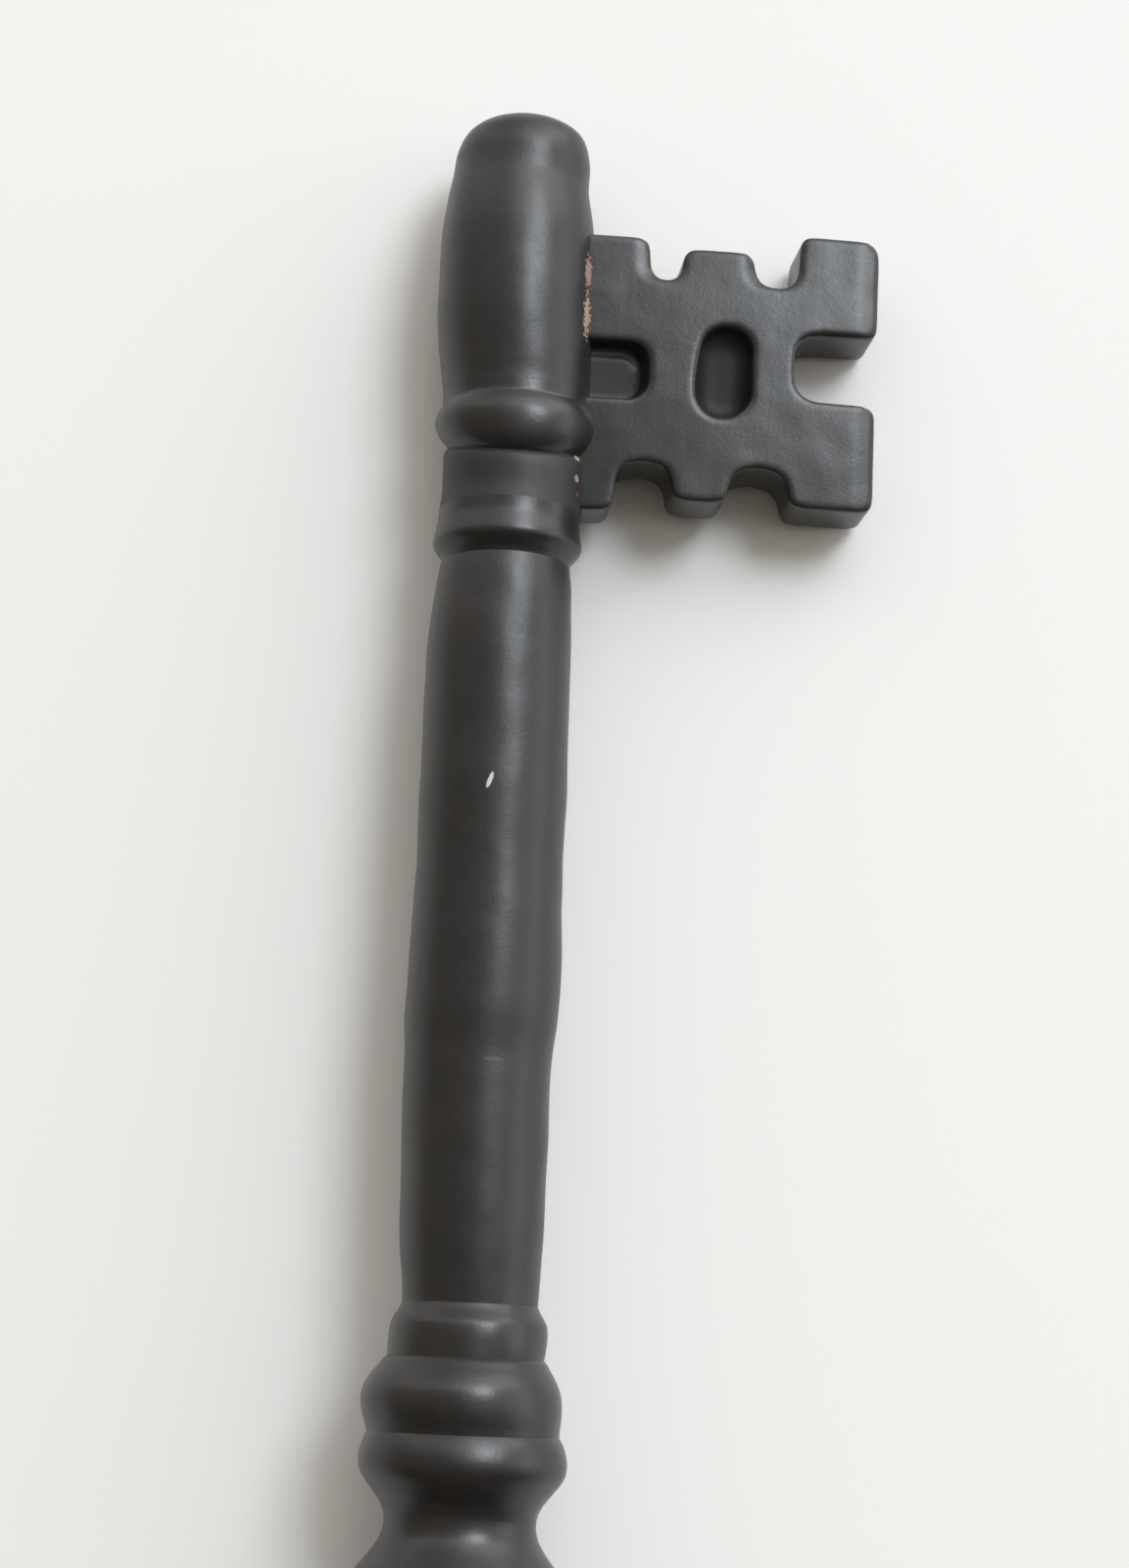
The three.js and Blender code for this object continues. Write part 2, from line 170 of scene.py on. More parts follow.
def take(piece):
    """Makes a piece the active one, and the only one that is selected."""
    bpy.ops.object.select_all(action="DESELECT")
    bpy.context.view_layer.objects.active = piece
    piece.select_set(True)


def add_modifier(piece, kind, **settings):
    """Adds a modifier and applies it at once."""
    take(piece)
    modifier = piece.modifiers.new(kind.title(), kind)
    for setting, value in settings.items():
        setattr(modifier, setting, value)
    bpy.ops.object.modifier_apply(modifier=modifier.name)


hand_work = bpy.data.textures.new("hand_work", "CLOUDS")
hand_work.noise_scale = 9 * MM
hand_work.noise_depth = 1


def dress_by_hand(piece, depth=0.3 * MM):
    """Makes the surface slightly uneven. Neighbours share the pattern, so their joints stay closed."""
    for direction in ("X", "Z"):
        add_modifier(
            piece, "DISPLACE", texture=hand_work, texture_coords="LOCAL", direction=direction,
            strength=depth)


def smooth(piece, angle=40):
    """Shades a piece smooth but for edges sharper than an angle in degrees."""
    take(piece)
    bpy.ops.object.shade_smooth_by_angle(angle=math.radians(angle))


def fit(piece, node, material):
    """The finished piece stands for its CAD node, and rides on the key's one body."""
    piece.data.materials.clear()
    piece.data.materials.append(material)
    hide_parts(node)
    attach(piece, "root")


class Wire:
    """A socket in a finish, which takes part in plain sums."""

    def __init__(self, finish, socket):
        self.finish = finish
        self.socket = socket

    def math(self, operation, first, second):
        return self.finish.node("ShaderNodeMath", {"operation": operation}, {0: first, 1: second})

    def __add__(self, other):
        return self.math("ADD", self, other)

    def __sub__(self, other):
        return self.math("SUBTRACT", self, other)

    def __rsub__(self, other):
        return self.math("SUBTRACT", other, self)

    def __mul__(self, other):
        return self.math("MULTIPLY", self, other)

    __radd__ = __add__


class Nodes:
    """A shader that is built node by node, for a material or for the room."""

    def __init__(self, owner):
        owner.use_nodes = True
        self.tree = owner.node_tree
        self.tree.nodes.clear()

    def node(self, kind, settings, inputs, output=0):
        node = self.tree.nodes.new(kind)
        for setting, value in settings.items():
            setattr(node, setting, value)
        for socket, value in inputs.items():
            if isinstance(value, Wire):
                self.tree.links.new(value.socket, node.inputs[socket])
            else:
                node.inputs[socket].default_value = value
        return Wire(self, node.outputs[output]) if node.outputs else None

    def step(self, value, low, high):
        """0 below low, 1 above high, and smooth between."""
        inputs = {"Value": value, "From Min": low, "From Max": high}
        return self.node("ShaderNodeMapRange", {"interpolation_type": "SMOOTHSTEP"}, inputs)

    def blend(self, share, first, second):
        return self.node("ShaderNodeMix", {"data_type": "RGBA"}, {0: share, 6: first, 7: second}, output=2)


class Finish(Nodes):
    """A material whose patterns are given in millimetres."""

    def __init__(self, name):
        self.material = bpy.data.materials.new(name)
        super().__init__(self.material)
        metres = self.node("ShaderNodeTexCoord", {}, {}, output="Object")
        self.place = self.node("ShaderNodeVectorMath", {"operation": "SCALE"}, {0: metres, "Scale": 1 / MM})

    def surface(self, **inputs):
        """The shader, with its sockets named as Base_Color for Base Color."""
        named = {socket.replace("_", " "): value for socket, value in inputs.items()}
        shader = self.node("ShaderNodeBsdfPrincipled", {}, named)
        self.node("ShaderNodeOutputMaterial", {}, {"Surface": shader})

    def noise(self, size, detail=2.0, roughness=0.5, shift=0.0, stretch=1.0):
        """Noise whose lumps are about size millimetres across, and longer along the stem by stretch."""
        inputs = {"Vector": self.place, "Location": (shift, shift, shift), "Scale": (1, 1 / stretch, 1)}
        moved = self.node("ShaderNodeMapping", {}, inputs)
        inputs = {"Vector": moved, "Scale": 1 / size, "Detail": detail, "Roughness": roughness}
        return self.node("ShaderNodeTexNoise", {}, inputs)

    def spot(self, centre, halves, turned_by, ragged, grain):
        """A ragged oval mark round a point on the piece, all in millimetres."""
        inputs = {"Vector": self.place, "Location": centre, "Rotation": (0, 0, turned_by), "Scale": halves}
        inside = self.node("ShaderNodeMapping", {"vector_type": "TEXTURE"}, inputs)
        far = self.node("ShaderNodeVectorMath", {"operation": "LENGTH"}, {0: inside}, output="Value")
        rough = (self.noise(grain, detail=3, shift=centre[1]) - 0.5) * (MARK_RAGGEDNESS * ragged)
        return 1 - self.step(far + rough, *MARK_EDGE)


def blackened(name, marks=(), dull=0.0):
    """Blackened iron: a thin satin black over dark brown, with marks where it is chipped or scuffed, and any
    painted highlight or painted shade that a piece's marks give.
    """
    finish = Finish(name)
    blotches = finish.noise(BLOTCH_SIZE, detail=4, roughness=0.6, shift=7)
    worn = finish.step(finish.noise(WORN_SIZE, detail=4, roughness=0.6, shift=3), *WORN_EDGE)
    strokes = finish.noise(STROKE_SIZE, detail=3, shift=5, stretch=9)
    pores = finish.noise(PORE_SIZE, detail=2, shift=11)
    colour = finish.blend(blotches, BLACK_BROWN, BLACK_GREY)
    colour = finish.blend(worn * WORN_SHARE, colour, WORN_BROWN)
    roughness = SATIN_ROUGHNESS + dull + blotches * BLOTCH_ROUGHNESS
    roughness = roughness + strokes * STROKE_ROUGHNESS + pores * PORE_ROUGHNESS
    height = blotches * BLOTCH_HEIGHT + strokes * STROKE_HEIGHT + pores * PORE_HEIGHT
    for own in marks:
        mark = {**PLAIN_MARK, **own}
        share = finish.spot(mark["centre"], mark["halves"], mark["turned_by"], mark["ragged"], mark["grain"])
        share = share * mark["strength"]
        colour = finish.blend(share, colour, mark["colour"])
        roughness = roughness + share * mark["dulls"]
        height = height - share * mark["depth"]
    bump = finish.node("ShaderNodeBump", {}, {"Height": height, "Strength": 1.0, "Distance": MM})
    finish.surface(Base_Color=colour, Roughness=roughness, Normal=bump, Metallic=0.0, IOR=1.53)
    return finish.material


def on_stem(across, down, up):
    """A point in millimetres: across from the stem's axis, down from the tip, and up from the axis."""
    return (stem_x / MM + across, tip_y / MM - down, stem_z / MM + up)


shank_start = span("lower_collar")[1]
shank_end = span("first_bead")[0]
tip_spigot = 5.5 * MM
foot_spigot = 7 * MM

shank = turn("shank_bar", [
    (tip_spigot, shank_high.y),
    (tip_spigot, shank_start),
    *turning_line(shank_start, SHANK_LINE),
    (foot_spigot, shank_end),
    (foot_spigot, shank_low.y),
])
dress_by_hand(shank)
smooth(shank)
fit(shank, "shank", blackened("blackened_shank", dull=0.05, marks=[
    {"centre": on_stem(-1.2, 103.5, 10.6), "halves": (0.32, 1.2, 1.5), "turned_by": -0.32,
     "colour": FLECK_WHITE, "ragged": 0.15, "depth": 0.05},
    {"centre": on_stem(1.15, 142.7, 10.4), "halves": (1.3, 0.35, 1.5),
     "colour": SCUFF_AND_HIGHLIGHT_GREY, "ragged": 0.3, "strength": 0.5, "depth": 0.03},
]))


# Collars and neck sleeve
# Two round collars with a waisted sleeve between them. They are turned rings, slid onto the spigot and
# butted together, and the blackening has run into the joints.

UPPER_COLLAR_LINE = [
    (0.0, 10.85), (1.5, 10.85), (2.1, 11.10), (2.9, 11.58), (3.8, 11.90), (4.7, 11.88), (5.6, 11.60),
    (6.5, 11.10), (7.2, 10.55), (7.7, 10.10), (8.0, 9.90),
]
NECK_LINE = [
    (0.0, 9.90), (0.6, 10.28), (1.6, 10.42), (3.5, 10.36), (5.5, 10.30), (7.5, 10.32), (9.5, 10.42),
]
LOWER_COLLAR_LINE = [
    (0.0, 10.42), (1.0, 10.42), (1.7, 10.44), (2.3, 10.51), (2.9, 10.61), (3.5, 10.72), (4.1, 10.83),
    (4.6, 10.91), (5.1, 10.93), (5.6, 10.79), (6.1, 10.46), (6.6, 10.03), (7.2, 9.55), (8.0, 9.20),
]

sleeve_bore = tip_spigot + FIT


def sleeve(name, node, line, bore):
    """A turned ring that stands for a node of the stem."""
    top, bottom = span(node)
    ring = turn(name, [(bore, top), *turning_line(top, line), (bore, bottom)], bored=True)
    dress_by_hand(ring)
    smooth(ring)
    return ring


neck_chips = [
    {"centre": on_stem(9.75, 53.6, 5.4), "halves": (0.5, 0.5, 1.4), "colour": RAW_TAN, "ragged": 0.2},
    {"centre": on_stem(9.75, 56.8, 5.4), "halves": (0.42, 0.55, 1.4), "colour": RAW_PINK, "ragged": 0.2},
    {"centre": on_stem(10.1, 59.0, 5.4), "halves": (0.4, 0.4, 1.4), "colour": RAW_RED, "ragged": 0.2},
]
collar_black = blackened("blackened_collars")
fit(sleeve("upper_collar_ring", "upper_collar", UPPER_COLLAR_LINE, sleeve_bore),
    "upper_collar", collar_black)
fit(sleeve("neck_ring", "neck_sleeve", NECK_LINE, sleeve_bore),
    "neck_sleeve", blackened("blackened_neck", marks=neck_chips, dull=0.2))
fit(sleeve("lower_collar_ring", "lower_collar", LOWER_COLLAR_LINE, sleeve_bore),
    "lower_collar", collar_black)


# Tip barrel
# The round end of the stem, domed at the tip and bored for the spigot. The blackening has chipped off
# in a narrow line where the bit is let into its side.

BARREL_LINE = [
    (0.0, 0.0), (0.15, 2.4), (0.45, 4.3), (1.0, 6.1), (1.8, 7.6), (2.9, 8.8), (4.2, 9.5), (5.6, 9.92),
    (7.0, 10.12), (8.4, 10.20), (9.7, 10.27), (11.0, 10.39), (12.5, 10.62), (14.5, 10.92),
    (17.0, 11.22), (20.0, 11.46), (25.0, 11.6), (31.0, 11.55), (36.0, 11.35), (40.0, 11.1),
    (42.5, 10.9), (44.0, 10.85),
]
BARREL_BORE_DEPTH = 24 * MM

barrel_top, barrel_bottom = span("tip_barrel")
barrel_radius = half_width("tip_barrel")

barrel = turn("domed_barrel", [
    *turning_line(barrel_top, BARREL_LINE, steps=5),
    (sleeve_bore, barrel_bottom),
    (sleeve_bore, barrel_bottom + BARREL_BORE_DEPTH),
])
dress_by_hand(barrel)
smooth(barrel)
seam_chips = [
    {"centre": on_stem(10.2, 25.0, 5.5), "halves": (0.62, 2.7, 1.8),
     "colour": RAW_PINK, "ragged": 0.7, "grain": 0.5},
    {"centre": on_stem(10.2, 31.4, 5.5), "halves": (0.62, 3.4, 1.8),
     "colour": RAW_TAN, "ragged": 0.7, "grain": 0.5},
]
fit(barrel, "tip_barrel", blackened("blackened_barrel", marks=seam_chips, dull=0.04))


# Bit
# A plate as thick as a finger's width, with three teeth above and below, a notch in its outer end and two
# blind recesses in its front. Its root is let into the stem, and its edges are rounded by hand.

# Places on the plate are shares of its length from the stem and of its height from its top. A ward is a
# notch between two teeth, given as (left, right, corner), and each row has its own floor.
WARDS_ABOVE = [(0.188, 0.302, 2.2 * MM), (0.556, 0.713, 2.8 * MM)]
WARDS_BELOW = [(0.094, 0.292, 2.6 * MM), (0.488, 0.702, 3.3 * MM)]
WARD_FLOORS = (0.2, 0.856)
# The notch in the outer end, as (inner end, top, bottom).
SIDE_WARD = (0.705, 0.359, 0.602)
# The inner teeth are shorter. Above, each is given as (left, right, top), and below, all end at one place.
STEPS_ABOVE = [(-0.5, 0.25, 0.046), (0.25, 0.65, 0.076)]
STEP_BELOW = (0.2, 0.985)
PLATE_CORNER = 1.8 * MM
STEP_CORNER = 0.3 * MM
SIDE_WARD_CORNER = 3.2 * MM
# The recess beside the stem, as (outer end, top, bottom), and the middle of the oval.
HALF_ROUND = (0.216, 0.419, 0.642)
OVAL = (0.465, 0.512)
# The oval is sunk in two steps of (depth, half width, half height, shift to the lower left, narrowing
# across and down, round of the floor).
OVAL_STEPS = [
    (4.4 * MM, 4.2 * MM, 7.4 * MM, 0, (0.84, 0.84), 2.2 * MM),
    (1.2 * MM, 5.3 * MM, 8.2 * MM, 0.5 * MM, (0.66, 0.76), 0),
]
OVAL_CORNER_SHARE = 0.93
HALF_ROUND_DEPTH = 4.2 * MM
HALF_ROUND_CORNER = 3.2 * MM
HALF_ROUND_NARROWING = (0.84, 0.84)
# How far the recess runs on under the barrel's side.
UNDER_BARREL = 4 * MM
# The raised part of its floor, as (inset, rise).
ISLAND = (2.2 * MM, 0.7 * MM)
ISLAND_CORNER = 2.4 * MM
FLOOR_TILT = math.radians(11)
LONG_TOOTH = 1.3 * MM
EDGE_ROUND = 0.9 * MM
# Shallow chamfers on the outer end and on the left of the upper wards, as (width, depth).
END_CHAMFER = (3.2 * MM, 0.55 * MM)
TOOTH_CHAMFER = (2.0 * MM, 0.5 * MM)
# The face falls away a little to the left of the first share and below the second, by the slopes that
# follow, and most in its lower left corner.
FACE_FALL = (0.62, 0.25, 0.052, 0.060)
FACE_TWIST = 3.4e-5 / MM ** 2

bit_low, bit_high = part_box("bit")
bit_length = bit_high.x - stem_x - barrel_radius
bit_height = bit_high.y - bit_low.y
bit_front = bit_high.z
spare = 3 * MM
through = (bit_low.z - 2 * spare, bit_front + 2 * spare)


def across(share):
    """A place on X, as a share of the bit's length out from the side of the barrel."""
    return stem_x + barrel_radius + bit_length * share


def down(share):
    """A place on Y, as a share of the bit's height down from its top."""
    return bit_high.y - bit_height * share


def pick(piece, wanted):
    """Selects the corners of a piece that lie at a wanted place, for the next tool in edit mode."""
    bpy.ops.object.mode_set(mode="EDIT")
    bpy.ops.mesh.select_mode(type="VERT")
    bpy.ops.mesh.select_all(action="DESELECT")
    bpy.ops.object.mode_set(mode="OBJECT")
    for vertex in piece.data.vertices:
        vertex.select = wanted(vertex.co)
    bpy.ops.object.mode_set(mode="EDIT")


def block(name, x_range, y_range, z_range, corner):
    """A block whose upright edges are rounded."""
    bpy.ops.object.select_all(action="DESELECT")
    ranges = (x_range, y_range, z_range)
    bpy.ops.mesh.primitive_cube_add(
        size=1, location=[sum(ends) / 2 for ends in ranges], scale=[abs(b - a) for a, b in ranges])
    cube = bpy.context.object
    cube.name = name
    bpy.ops.object.transform_apply(location=True, rotation=True, scale=True)
    bpy.ops.object.mode_set(mode="EDIT")
    bpy.ops.mesh.select_mode(type="EDGE")
    bpy.ops.mesh.select_all(action="DESELECT")
    bpy.ops.object.mode_set(mode="OBJECT")
    for line in cube.data.edges:
        first, last = (cube.data.vertices[i].co for i in line.vertices)
        line.select = first.x == last.x and first.y == last.y
    bpy.ops.object.mode_set(mode="EDIT")
    bpy.ops.mesh.bevel(offset=corner, segments=8)
    bpy.ops.object.mode_set(mode="OBJECT")
    return cube


def combine(piece, operation, tool):
    """Cuts or joins a piece with another, which is used up."""
    add_modifier(piece, "BOOLEAN", operation=operation, object=tool, solver="EXACT")
    bpy.data.objects.remove(tool)


def shape_by_hand(piece, rounds, grain):
    """Rebuilds a piece on a fine even mesh and rubs its edges round."""
    add_modifier(piece, "REMESH", mode="VOXEL", voxel_size=grain)
    add_modifier(piece, "SMOOTH", factor=0.5, iterations=rounds)


def sink(tool, middle, narrowing, floor_round=0):
    """Cuts a recess in the plate's front. The floor narrows towards its middle and tilts about it."""
    pick(tool, lambda co: co.z < bit_front)
    bpy.ops.transform.resize(value=(*narrowing, 1), center_override=middle)
    bpy.ops.transform.rotate(value=-FLOOR_TILT, orient_axis="X", center_override=middle)
    if floor_round:
        bpy.ops.mesh.bevel(offset=floor_round, segments=5)
    bpy.ops.object.mode_set(mode="OBJECT")
    combine(plate, "DIFFERENCE", tool)


plate = block(
    "bit_plate", (bit_low.x, bit_high.x), (bit_low.y - LONG_TOOTH, bit_high.y),
    (bit_low.z - spare, bit_front + spare), PLATE_CORNER)

above, below = WARD_FLOORS
for left, right, top in STEPS_ABOVE:
    combine(plate, "DIFFERENCE", block(
        "step", (across(left), across(right)), (down(top), bit_high.y + spare), through, STEP_CORNER))
for left, right, corner in WARDS_ABOVE:
    combine(plate, "DIFFERENCE", block(
        "ward", (across(left), across(right)), (down(above), bit_high.y + 2 * spare), through, corner))
for left, right, corner in WARDS_BELOW:
    combine(plate, "DIFFERENCE", block(
        "ward", (across(left), across(right)), (bit_low.y - 3 * spare, down(below)), through, corner))
left, top = STEP_BELOW
combine(plate, "DIFFERENCE", block(
    "step", (across(left), bit_high.x + spare), (bit_low.y - 2 * spare, down(top)), through, STEP_CORNER))
inner, top, bottom = SIDE_WARD
combine(plate, "DIFFERENCE", block(
    "side_ward", (across(inner), bit_high.x + 2 * spare), (down(bottom), down(top)), through,
    SIDE_WARD_CORNER))
shape_by_hand(plate, rounds=60, grain=0.5 * MM)

# The front and back faces come from a slab whose long edges are rounded.
slab = block(
    "slab", (bit_low.x - 2 * spare, bit_high.x), (bit_low.z, bit_front),
    (-bit_high.y - spare, spare - bit_low.y), EDGE_ROUND)
slab.rotation_euler.x = math.pi / 2
bpy.ops.object.transform_apply(location=True, rotation=True, scale=True)
combine(plate, "INTERSECT", slab)

width, depth = END_CHAMFER
chamfer = block(
    "chamfer", (bit_high.x - width, bit_high.x + width), (bit_low.y - spare, bit_high.y + spare),
    (bit_front, bit_front + spare), STEP_CORNER)
pick(chamfer, lambda co: co.z < bit_front + MM and co.x > bit_high.x)
bpy.ops.transform.translate(value=(0, 0, -2 * depth))
bpy.ops.object.mode_set(mode="OBJECT")
combine(plate, "DIFFERENCE", chamfer)
width, depth = TOOTH_CHAMFER
for left, right, corner in WARDS_ABOVE:
    ward = block(
        "flared_ward", (across(left), across(right)), (down(above), bit_high.y + spare),
        (bit_front - depth, bit_front + depth), corner)
    pick(ward, lambda co: co.z > bit_front and co.x < across((left + right) / 2))
    bpy.ops.transform.translate(value=(-2 * width, 0, 0))
    bpy.ops.object.mode_set(mode="OBJECT")
    combine(plate, "DIFFERENCE", ward)

outer, top, bottom = HALF_ROUND
seam_x = stem_x + math.sqrt(barrel_radius ** 2 - (bit_front - stem_z) ** 2)
floor = bit_front - HALF_ROUND_DEPTH
middle = (seam_x - UNDER_BARREL / 2, down((top + bottom) / 2), floor)
half_round = block(
    "half_round", (seam_x - UNDER_BARREL, across(outer)), (down(bottom), down(top)),
    (floor, bit_front + spare), HALF_ROUND_CORNER)
sink(half_round, middle, HALF_ROUND_NARROWING)
inset, rise = ISLAND
island = block(
    "island", (seam_x - UNDER_BARREL, across(outer) - inset), (down(bottom), down(top) - inset),
    (floor - spare, floor + rise), ISLAND_CORNER)
pick(island, lambda co: True)
bpy.ops.transform.rotate(value=-FLOOR_TILT, orient_axis="X", center_override=middle)
bpy.ops.object.mode_set(mode="OBJECT")
combine(plate, "UNION", island)

oval_x, oval_y = across(OVAL[0]), down(OVAL[1])
for depth, half_x, half_y, shift, narrowing, floor_round in OVAL_STEPS:
    middle = (oval_x - shift, oval_y - shift, bit_front - depth)
    oval = block(
        "oval", (middle[0] - half_x, middle[0] + half_x), (middle[1] - half_y, middle[1] + half_y),
        (bit_front - depth, bit_front + spare), OVAL_CORNER_SHARE * half_x)
    sink(oval, middle, narrowing, floor_round)
shape_by_hand(plate, rounds=12, grain=0.36 * MM)

left, top, left_slope, low_slope = FACE_FALL
for corner in plate.data.vertices:
    share = max(0, (corner.co.z - stem_z) / (bit_front - stem_z))
    west = max(0, across(left) - corner.co.x)
    south = max(0, down(top) - corner.co.y)
    fall = west ** 2 * left_slope / (2 * left * bit_length)
    fall += south ** 2 * low_slope / (2 * (1 - top) * bit_height)
    corner.co.z -= (fall + west ** 2 * south * FACE_TWIST) * share
dress_by_hand(plate, depth=0.2 * MM)
smooth(plate, angle=60)

face_height = (bit_front - stem_z) / MM
oval_across, oval_down = (oval_x - stem_x) / MM, (tip_y - oval_y) / MM
# A light grey line painted as a highlight along the lower edge of the half round recess, and painted shade
# in the floors of both recesses, which are made the darkest brown-black and given a duller finish.
bit_chips_and_painted_light = seam_chips + neck_chips + [
    # Painted highlight: a light grey line on the half round recess's lower edge.
    {"centre": on_stem(12.7, 43.7, 5.4), "halves": (1.1, 0.25, 1.2), "turned_by": 0.05,
     "colour": SCUFF_AND_HIGHLIGHT_GREY, "ragged": 0.3, "depth": 0.03},
    # Painted shade: the oval recess's floor is darkened, and its finish dulled.
    {"centre": on_stem(oval_across, oval_down, face_height - 5), "halves": (6, 9, 4.4),
     "colour": BLACK_BROWN, "ragged": 0, "dulls": 0.3, "depth": 0},
    # Painted shade: the half round recess's floor is darkened, and its finish dulled.
    {"centre": on_stem(15, 39, face_height - 4), "halves": (7.5, 7, 3.5),
     "colour": BLACK_BROWN, "ragged": 0, "dulls": 0.2, "depth": 0},
]
fit(plate, "bit", blackened("blackened_bit", marks=bit_chips_and_painted_light))


# Beads
# Three rings that grow towards the bow, each with a sloping shoulder and a sharp valley to the next.
# They are turned singly and slid onto the lower spigot.

FIRST_BEAD_LINE = [
    (0.0, 9.50), (0.8, 9.85), (1.8, 10.45), (2.7, 10.88), (4.2, 11.08), (6.0, 11.08), (7.4, 11.02),
]
SECOND_BEAD_LINE = [
    (0.0, 11.02), (0.5, 11.55), (1.3, 12.10), (2.5, 12.95), (4.0, 13.70), (5.4, 14.02), (6.8, 14.05),
    (8.2, 13.85), (9.4, 13.58), (10.4, 13.40),
]
THIRD_BEAD_LINE = [
    (0.0, 13.40), (0.6, 13.72), (1.6, 14.12), (2.8, 14.42), (3.9, 14.50), (5.1, 14.28), (6.1, 13.78),
    (7.2, 12.95), (8.2, 12.15), (9.3, 11.35), (10.5, 10.75),
]

bead_bore = foot_spigot + FIT
bead_black = blackened("blackened_beads")
for name, node, line in (
    ("first_bead_ring", "first_bead", FIRST_BEAD_LINE),
    ("second_bead_ring", "second_bead", SECOND_BEAD_LINE),
    ("third_bead_ring", "third_bead", THIRD_BEAD_LINE),
):
    fit(sleeve(name, node, line, bead_bore), node, bead_black)


# Bow boss and its pins
# A waisted knop that joins the bow to the stem, bored from both ends. A filed steel pin goes into each
# joint from the back of the key, where it doesn't show.

BOSS_LINE = [
    (0.0, 10.75), (0.8, 10.58), (1.8, 10.55), (2.8, 10.72), (3.8, 11.10), (5.0, 11.80), (6.4, 12.85),
    (7.9, 14.10), (9.4, 15.30), (11.0, 16.00), (12.6, 15.70), (14.4, 14.50), (16.4, 12.60),
    (18.4, 10.80), (21.0, 9.60),
]
PIN_STEEL = (0.16, 0.15, 0.14, 1)
PIN_GREY = (0.05, 0.05, 0.05, 1)
SEAT = 0.3 * MM

boss_top, boss_bottom = span("bow_boss")
boss_radius = half_width("bow_boss")
tenon_radius = 5 * MM
tenon_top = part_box("bow")[1].y

boss = turn("bow_knop", [
    (bead_bore, shank_low.y - SEAT),
    (bead_bore, boss_top),
    *turning_line(boss_top, BOSS_LINE),
    (tenon_radius + FIT, boss_bottom),
    (tenon_radius + FIT, tenon_top + SEAT),
])
for pin in ("shank_pin", "bow_pin"):
    pin_low, pin_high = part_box(pin)
    bpy.ops.object.select_all(action="DESELECT")
    bpy.ops.mesh.primitive_cylinder_add(
        vertices=48, radius=(pin_high.x - pin_low.x) / 2 + FIT, depth=pin_high.z + boss_radius,
        location=(stem_x, (pin_low.y + pin_high.y) / 2, (pin_high.z - boss_radius) / 2))
    hole = bpy.context.object
    bpy.ops.object.transform_apply(location=True, rotation=True, scale=True)
    combine(boss, "DIFFERENCE", hole)
smooth(boss)
fit(boss, "bow_boss", blackened("blackened_boss"))

steel = Finish("filed_steel")
filing = steel.noise(0.6, detail=4)
steel.surface(
    Base_Color=steel.blend(filing, PIN_STEEL, PIN_GREY), Roughness=0.35 + filing * 0.2, Metallic=1.0)
for pin in ("shank_pin", "bow_pin", "bit_dowel_upper", "bit_dowel_lower"):
    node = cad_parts[pin]
    node.data.materials.clear()
    node.data.materials.append(steel.material)


# Bow
# The handle: a plain oval ring of round bar, forged in one with a shoulder and a tenon that fits the
# knop. The photograph doesn't show it, so it has the usual shape.

BAR_HALF_WIDTH = 6.5 * MM
BAR_HALF_HEIGHT = 6 * MM
SHOULDER_LENGTH = 3 * MM
SHOULDER_LINE = [(0.0, 9.60), (1.5, 9.30), (3.5, 8.10), (6.0, 6.40), (8.0, 5.40), (9.5, 5.00)]

bow_low, bow_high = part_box("bow")
ring_half_width = (bow_high.x - bow_low.x) / 2
ring_half_length = (boss_bottom - SHOULDER_LENGTH - bow_low.y) / 2

bpy.ops.object.select_all(action="DESELECT")
bpy.ops.mesh.primitive_torus_add(
    major_radius=ring_half_width - BAR_HALF_WIDTH, minor_radius=BAR_HALF_WIDTH, major_segments=144,
    minor_segments=36, location=(stem_x, bow_low.y + ring_half_length, stem_z))
bow = bpy.context.object
bow.name = "oval_bow"
bow.scale = (1, ring_half_length / ring_half_width, BAR_HALF_HEIGHT / BAR_HALF_WIDTH)
bpy.ops.object.transform_apply(location=True, rotation=True, scale=True)
combine(bow, "UNION", turn("shoulder", [
    (tenon_radius, tenon_top),
    (tenon_radius, boss_bottom),
    *turning_line(boss_bottom, SHOULDER_LINE),
]))
shape_by_hand(bow, rounds=6, grain=0.6 * MM)
smooth(bow, angle=60)
fit(bow, "bow", blackened("blackened_bow"))


# Table
# The key lies on a white table and touches it with the knop, the collar and the corner of the bit, so
# the table is turned a little against the key.

KEY_LEAN = math.radians(2.42)
KEY_PITCH = math.radians(1.4)
KEY_ROLL = math.radians(6.0)
TABLE_WHITE = (0.855, 0.847, 0.825, 1)
TABLE_SIZE = 20
TABLE_GAP = 0.1 * MM

key_from_table = (
    Matrix.Rotation(-KEY_LEAN, 3, "Z")
    @ Matrix.Rotation(-KEY_PITCH, 3, "X")
    @ Matrix.Rotation(KEY_ROLL, 3, "Y")
).transposed()
table_up = key_from_table @ Vector((0, 0, 1))
lowest = min(
    vertex.co.dot(table_up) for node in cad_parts.values() for vertex in node.data.vertices)
bpy.ops.object.select_all(action="DESELECT")
bpy.ops.mesh.primitive_plane_add(
    size=TABLE_SIZE, location=table_up * (lowest - TABLE_GAP), rotation=key_from_table.to_euler())
table = bpy.context.object
table.name = "table"
bpy.ops.object.transform_apply(location=True, rotation=True, scale=True)
white = Finish("white_table")
white.surface(Base_Color=TABLE_WHITE, Roughness=0.7)
table.data.materials.append(white.material)


# Camera
# It looks down on the bow's end of the stem, tilted so that the whole bit is in view. Its place is given
# from the tip: across, along and above the table.

PHOTO_HEIGHT = 1600
FOCAL_PIXELS = 3100
CAMERA_TILT = math.radians(9.88)
CAMERA_FROM_TIP = Vector((6.05, -177.3, 435.5)) * MM

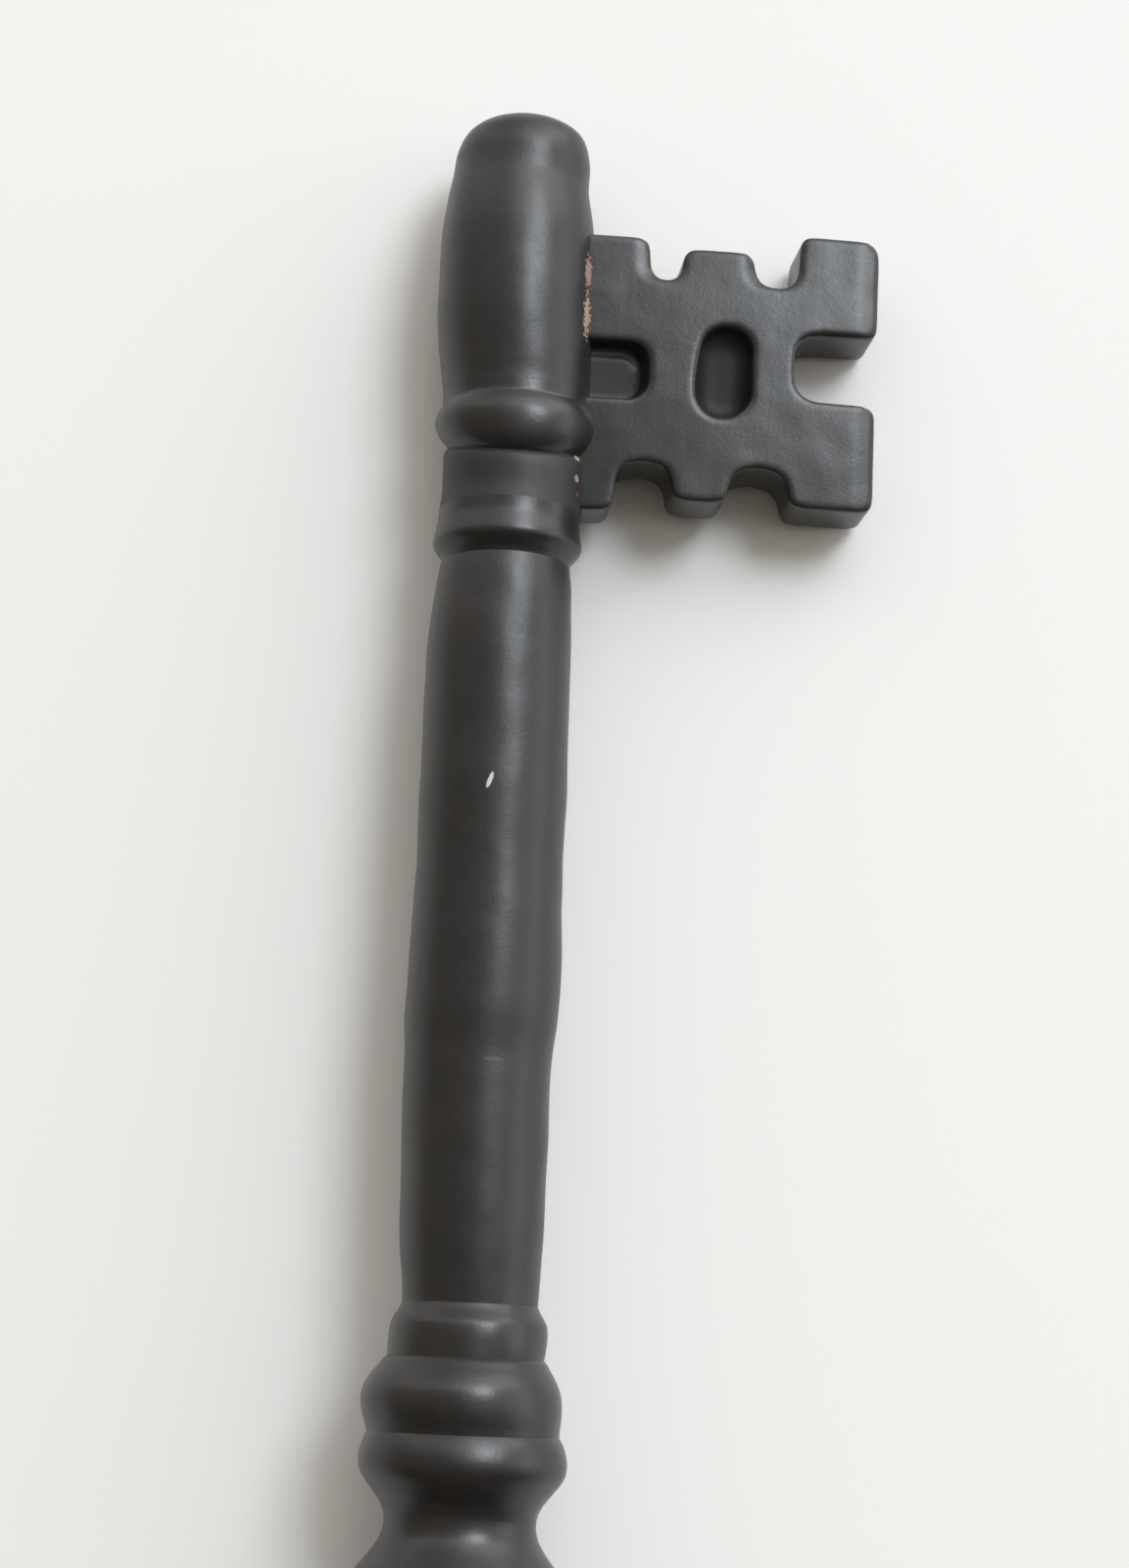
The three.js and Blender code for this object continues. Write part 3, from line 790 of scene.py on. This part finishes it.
camera_data = bpy.data.cameras.new("camera")
camera_data.sensor_fit = "AUTO"
camera_data.lens = camera_data.sensor_width * FOCAL_PIXELS / PHOTO_HEIGHT
camera = bpy.data.objects.new("camera", camera_data)
bpy.context.scene.collection.objects.link(camera)
tip = Vector((stem_x, tip_y, stem_z))
camera.matrix_world = (
    Matrix.Translation(tip + key_from_table @ CAMERA_FROM_TIP)
    @ (key_from_table @ Matrix.Rotation(CAMERA_TILT, 3, "X")).to_4x4()
)
bpy.context.scene.camera = camera


# Light
# Soft daylight: a window high on the right, a bright band beyond the tip, a paler wall on the right, and
# the dim side where the camera stands. East is the photograph's right, and north is its top.

WINDOW_TOWARDS = (0.58, 0.54, 1.0)
WINDOW_DISTANCE = 2.4
WINDOW_WIDTH = 0.95
WINDOW_WATTS = 27
WINDOW_COLOUR = (0.84, 0.92, 1.0)
# The window faces the stem this far down from the tip.
WINDOW_AIM = 90 * MM
# The room grows brighter in steps of (start, end, gain). Where a step starts and ends is how far a
# direction leans east or north, from -1 to 1.
ROOM_LIGHT = 0.145
WALL_LIGHT = 0.22
EAST_WALL = (-0.1, 0.4, 0.6)
FAR_EAST = (0.8, 0.98, 1.3)
WALLS_NORTH_FROM = (-0.45, -0.05)
NORTH_BAND = (0.44, 0.58, 2.5)
BAND_FADES = (0.72, 0.9, 1.9)
BAND_IN_WEST = 0.4
BAND_EAST = (-0.25, 0.15, 0.6)
# The room's colour turns from warm to cool between these places.
ROOM_WARM = (1.0, 0.89, 0.74, 1)
ROOM_COOL = (0.98, 0.97, 0.96, 1)
COOL_NORTH_SHARE = 2
COOL_FROM = (-0.2, 0.6)

window_light = bpy.data.lights.new("window", "AREA")
window_light.shape = "DISK"
window_light.size = WINDOW_WIDTH
window_light.energy = WINDOW_WATTS
window_light.color = WINDOW_COLOUR
window = bpy.data.objects.new("window", window_light)
bpy.context.scene.collection.objects.link(window)
away = (key_from_table @ Vector(WINDOW_TOWARDS)).normalized()
window.location = away * WINDOW_DISTANCE + Vector((stem_x, tip_y - WINDOW_AIM, stem_z))
window.rotation_mode = "QUATERNION"
window.rotation_quaternion = away.to_track_quat("Z", "Y")

world = bpy.data.worlds.new("room")
bpy.context.scene.world = world
room = Nodes(world)
sight = room.node("ShaderNodeTexCoord", {}, {}, output="Generated")


def lean(axis):
    """How far a direction leans towards an axis of the table, from -1 to 1."""
    inputs = {0: sight, 1: key_from_table @ Vector(axis)}
    return room.node("ShaderNodeVectorMath", {"operation": "DOT_PRODUCT"}, inputs, output="Value")


def growth(place, start, end, gain):
    """What one step adds to the brightness."""
    return room.step(place, start, end) * gain


eastward = lean((1, 0, 0))
northward = lean((0, 1, 0))
start, end, gain = NORTH_BAND
band = room.step(northward, start, end) * (gain - growth(northward, *BAND_FADES))
band = band * (BAND_IN_WEST + growth(eastward, *BAND_EAST))
walls = WALL_LIGHT + growth(eastward, *EAST_WALL) + growth(eastward, *FAR_EAST)
brightness = ROOM_LIGHT + walls * room.step(northward, *WALLS_NORTH_FROM) + band
coolness = room.step(eastward + northward * COOL_NORTH_SHARE, *COOL_FROM)
colour = room.blend(coolness, ROOM_WARM, ROOM_COOL)
background = room.node("ShaderNodeBackground", {}, {"Color": colour, "Strength": brightness})
room.node("ShaderNodeOutputWorld", {}, {"Surface": background})
bpy.context.scene.view_settings.view_transform = "Standard"
